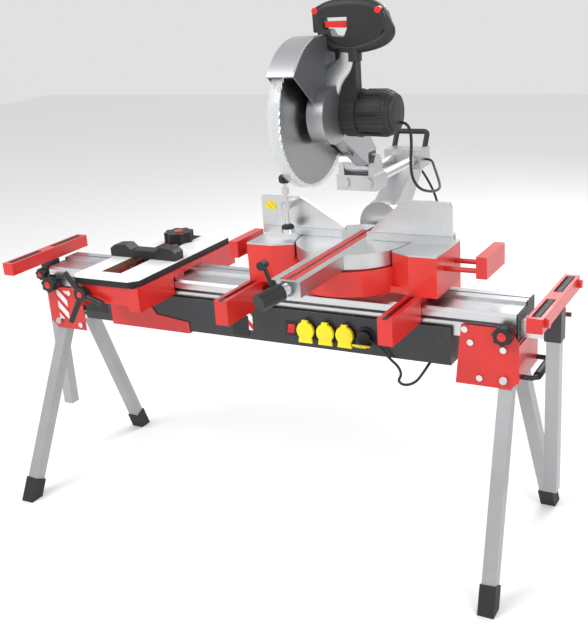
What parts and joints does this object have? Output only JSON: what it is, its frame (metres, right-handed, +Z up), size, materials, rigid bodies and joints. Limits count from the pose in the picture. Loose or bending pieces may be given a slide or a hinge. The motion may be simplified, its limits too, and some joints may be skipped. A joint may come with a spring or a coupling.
{
  "type": "mitre saw on stand",
  "caption": "Sliding compound mitre saw clamped on a folding stand with a router table, roller end supports and a switched socket panel.",
  "frame": {"origin": "on the floor at the centre of the four feet", "axes": "+X along the beam to the socket end, +Y to the back, +Z up"},
  "size_m": [1.498, 0.8424, 1.297],
  "materials": {
    "beam_metal": "satin anodised",
    "panel_dark": "satin dark grey",
    "black_plastic": "matt black",
    "yellow_plastic": "gloss yellow",
    "red_plastic": "gloss red",
    "red_paint": "gloss red",
    "grey_paint": "satin grey",
    "foot_rubber": "matt black",
    "bright_steel": "bright",
    "roller_rubber": "dark",
    "white_board": "white laminate on black edged board",
    "cast_metal": "bare casting",
    "red_casting": "red painted casting",
    "blade_steel": "ground",
    "clear_guard": "clear",
    "cord_rubber": "matt black"
  },
  "bodies": {
    "stand": {"beam": "beam_metal", "socket_panel": "panel_dark", "stand_fittings": "black_plastic", "stand_bolts": "bright_steel", "end_bracket_right": "red_paint", "end_bracket_left": "red_paint", "angle_bracket": "red_paint", "carry_handle": "black_plastic", "mains_cord": "cord_rubber", "mains_plug": "black_plastic"},
    "lid_1": {"socket_lid_1": "yellow_plastic"},
    "lid_2": {"socket_lid_2": "yellow_plastic"},
    "lid_3": {"socket_lid_3": "yellow_plastic"},
    "lid_4": {"socket_lid_4": "yellow_plastic"},
    "rocker": {"switch_rocker": "red_plastic"},
    "front_left_leg": {"leg_front_left": "grey_paint", "foot_front_left": "foot_rubber"},
    "front_right_leg": {"leg_front_right": "grey_paint", "foot_front_right": "foot_rubber"},
    "back_left_leg": {"leg_back_left": "grey_paint", "foot_back_left": "foot_rubber"},
    "back_right_leg": {"leg_back_right": "grey_paint", "foot_back_right": "foot_rubber"},
    "left_arm_lock": {"arm_lock_left": "black_plastic"},
    "right_arm_lock": {"arm_lock_right": "black_plastic"},
    "left_arm": {"pull_arm_left": "beam_metal"},
    "right_arm": {"pull_arm_right": "beam_metal"},
    "left_post_lock": {"post_lock_left": "black_plastic"},
    "right_post_lock": {"post_lock_right": "bright_steel"},
    "left_support": {"roller_support_left": "red_paint"},
    "right_support": {"roller_support_right": "red_paint"},
    "left_front_roller": {"roller_left_front": "roller_rubber"},
    "left_back_roller": {"roller_left_back": "roller_rubber"},
    "right_front_roller": {"roller_right_front": "roller_rubber"},
    "right_back_roller": {"roller_right_back": "roller_rubber"},
    "router_unit": {"router_bars": "red_paint", "router_table": "white_board"},
    "jaw": {"jaw_block": "black_plastic"},
    "table_knob": {"router_knob": "black_plastic"},
    "clamp": {"clamp_lever": "black_plastic"},
    "saw_mount": {"saw_bars": "red_paint", "saw_base": "red_casting", "table_and_fence": "cast_metal"},
    "left_fence": {"fence_left": "cast_metal"},
    "right_fence": {"fence_right": "cast_metal"},
    "work_clamp": {"hold_down": "bright_steel"},
    "left_wing": {"wing_left": "red_paint"},
    "right_wing": {"wing_right": "red_paint"},
    "mitre_table": {"turntable": "cast_metal"},
    "grip": {"lock_grip": "black_plastic"},
    "detent": {"detent_lever": "black_plastic"},
    "tilt_arm": {"bevel_arm": "cast_metal", "motor_cord": "cord_rubber"},
    "carriage": {"slide_carriage": "cast_metal"},
    "head": {"saw_head": "cast_metal", "motor_unit": "black_plastic"},
    "blade": {"saw_blade": "blade_steel"},
    "guard": {"lower_guard": "clear_guard"},
    "power_trigger": {"trigger": "red_plastic"}
  },
  "joints": [
    {"name": "front_left_fold", "type": "hinge", "parent": "stand", "child": "front_left_leg", "pos_m": [-0.647, -0.037, 0.461], "axis": [0, -0.901, 0.4339], "range_deg": [0, 90]},
    {"name": "front_right_fold", "type": "hinge", "parent": "stand", "child": "front_right_leg", "pos_m": [0.647, -0.037, 0.461], "axis": [0, 0.901, -0.4339], "range_deg": [0, 90]},
    {"name": "back_left_fold", "type": "hinge", "parent": "stand", "child": "back_left_leg", "pos_m": [-0.647, 0.062, 0.461], "axis": [0, -0.9196, -0.393], "range_deg": [0, 90]},
    {"name": "back_right_fold", "type": "hinge", "parent": "stand", "child": "back_right_leg", "pos_m": [0.647, 0.062, 0.461], "axis": [0, 0.9196, 0.393], "range_deg": [0, 90]},
    {"name": "lid_1_hinge", "type": "hinge", "parent": "stand", "child": "lid_1", "pos_m": [0.154, -0.0712, 0.518], "axis": [1, 0, 0], "range_deg": [0, 110]},
    {"name": "lid_2_hinge", "type": "hinge", "parent": "stand", "child": "lid_2", "pos_m": [0.208, -0.0712, 0.518], "axis": [1, 0, 0], "range_deg": [0, 110]},
    {"name": "lid_3_hinge", "type": "hinge", "parent": "stand", "child": "lid_3", "pos_m": [0.26, -0.0712, 0.518], "axis": [1, 0, 0], "range_deg": [0, 110]},
    {"name": "lid_4_hinge", "type": "hinge", "parent": "stand", "child": "lid_4", "pos_m": [0.311, -0.0712, 0.518], "axis": [1, 0, 0], "range_deg": [-4, 42]},
    {"name": "rocker_press", "type": "hinge", "parent": "stand", "child": "rocker", "pos_m": [0.109, -0.061, 0.539], "axis": [1, 0, 0], "range_deg": [0, 16]},
    {"name": "left_arm_lock_turn", "type": "hinge", "parent": "stand", "child": "left_arm_lock", "pos_m": [-0.656, -0.067, 0.586], "axis": [0, 1, 0], "continuous": true},
    {"name": "right_arm_lock_turn", "type": "hinge", "parent": "stand", "child": "right_arm_lock", "pos_m": [0.647, -0.067, 0.586], "axis": [0, 1, 0], "continuous": true},
    {"name": "left_arm_slide", "type": "slide", "parent": "stand", "child": "left_arm", "axis": [-1, 0, 0], "range_m": [0, 0.25]},
    {"name": "right_arm_slide", "type": "slide", "parent": "stand", "child": "right_arm", "axis": [1, 0, 0], "range_m": [0, 0.25]},
    {"name": "left_post_slide", "type": "slide", "parent": "left_arm", "child": "left_support", "axis": [0, 0, 1], "range_m": [0, 0.15]},
    {"name": "right_post_slide", "type": "slide", "parent": "right_arm", "child": "right_support", "axis": [0, 0, 1], "range_m": [0, 0.15]},
    {"name": "left_post_lock_turn", "type": "hinge", "parent": "left_arm", "child": "left_post_lock", "pos_m": [-0.702, -0.044, 0.605], "axis": [0, 1, 0], "continuous": true},
    {"name": "right_post_lock_turn", "type": "hinge", "parent": "right_arm", "child": "right_post_lock", "pos_m": [0.744, 0.05, 0.605], "axis": [0, 1, 0], "continuous": true},
    {"name": "left_front_roller_spin", "type": "hinge", "parent": "left_support", "child": "left_front_roller", "pos_m": [-0.702, -0.104, 0.661], "axis": [0, 1, 0], "continuous": true},
    {"name": "left_back_roller_spin", "type": "hinge", "parent": "left_support", "child": "left_back_roller", "pos_m": [-0.702, 0.066, 0.661], "axis": [0, 1, 0], "continuous": true},
    {"name": "right_front_roller_spin", "type": "hinge", "parent": "right_support", "child": "right_front_roller", "pos_m": [0.744, -0.104, 0.661], "axis": [0, 1, 0], "continuous": true},
    {"name": "right_back_roller_spin", "type": "hinge", "parent": "right_support", "child": "right_back_roller", "pos_m": [0.744, 0.066, 0.661], "axis": [0, 1, 0], "continuous": true},
    {"name": "router_slide", "type": "slide", "parent": "stand", "child": "router_unit", "axis": [1, 0, 0], "range_m": [-0.09, 0.06]},
    {"name": "jaw_slide", "type": "slide", "parent": "router_unit", "child": "jaw", "axis": [0, 1, 0], "range_m": [-0.06, 0.08]},
    {"name": "table_knob_turn", "type": "hinge", "parent": "router_unit", "child": "table_knob", "pos_m": [-0.3655, 0.16, 0.668], "axis": [0, 0, 1], "continuous": true},
    {"name": "clamp_turn", "type": "hinge", "parent": "router_unit", "child": "clamp", "pos_m": [-0.407, -0.215, 0.629], "axis": [0, 1, 0], "range_deg": [-50, 50]},
    {"name": "saw_slide", "type": "slide", "parent": "stand", "child": "saw_mount", "axis": [1, 0, 0], "range_m": [-0.08, 0.09], "deforming": ["mains_cord"]},
    {"name": "left_fence_slide", "type": "slide", "parent": "saw_mount", "child": "left_fence", "axis": [1, 0, 0], "range_m": [-0.11, 0]},
    {"name": "right_fence_slide", "type": "slide", "parent": "saw_mount", "child": "right_fence", "axis": [1, 0, 0], "range_m": [0, 0.08]},
    {"name": "work_clamp_slide", "type": "slide", "parent": "left_fence", "child": "work_clamp", "axis": [0, 0, 1], "range_m": [-0.012, 0.01]},
    {"name": "left_wing_slide", "type": "slide", "parent": "saw_mount", "child": "left_wing", "axis": [-1, 0, 0], "range_m": [-0.025, 0.02]},
    {"name": "right_wing_slide", "type": "slide", "parent": "saw_mount", "child": "right_wing", "axis": [1, 0, 0], "range_m": [-0.045, 0.02]},
    {"name": "mitre_turn", "type": "hinge", "parent": "saw_mount", "child": "mitre_table", "pos_m": [0.246, 0.03, 0.7], "axis": [0, 0, -1], "range_deg": [-45, 45]},
    {"name": "grip_turn", "type": "hinge", "parent": "mitre_table", "child": "grip", "pos_m": [0.244, -0.33, 0.73], "axis": [-0.3672, -0.9179, -0.1502], "continuous": true},
    {"name": "detent_turn", "type": "hinge", "parent": "mitre_table", "child": "detent", "pos_m": [0.218, -0.321, 0.737], "axis": [0, 1, 0], "range_deg": [-20, 25]},
    {"name": "bevel_tilt", "type": "hinge", "parent": "mitre_table", "child": "tilt_arm", "pos_m": [0.246, 0.2, 0.75], "axis": [0, 1, 0], "range_deg": [-45, 0]},
    {"name": "head_slide", "type": "slide", "parent": "tilt_arm", "child": "carriage", "axis": [0, 1, 0], "range_m": [0, 0.18], "deforming": ["motor_cord"]},
    {"name": "chop", "type": "hinge", "parent": "carriage", "child": "head", "pos_m": [0.246, 0.085, 0.925], "axis": [1, 0, 0], "range_deg": [0, 39.5], "stiffness_Nm_per_rad": 18, "springref_deg": -126.05},
    {"name": "blade_spin", "type": "hinge", "parent": "head", "child": "blade", "pos_m": [0.246, -0.14, 1.073], "axis": [1, 0, 0], "continuous": true},
    {"name": "guard_swing", "type": "hinge", "parent": "head", "child": "guard", "pos_m": [0.246, -0.14, 1.073], "axis": [1, 0, 0], "range_deg": [-145, 0]},
    {"name": "trigger_press", "type": "hinge", "parent": "head", "child": "power_trigger", "pos_m": [0.334, -0.105, 1.257], "axis": [0, 1, 0], "range_deg": [0, 3.5], "stiffness_Nm_per_rad": 1, "springref_deg": -17.19}
  ],
  "couplings": [
    {"joint": "guard_swing", "follows": "chop", "ratio": -3.6}
  ]
}
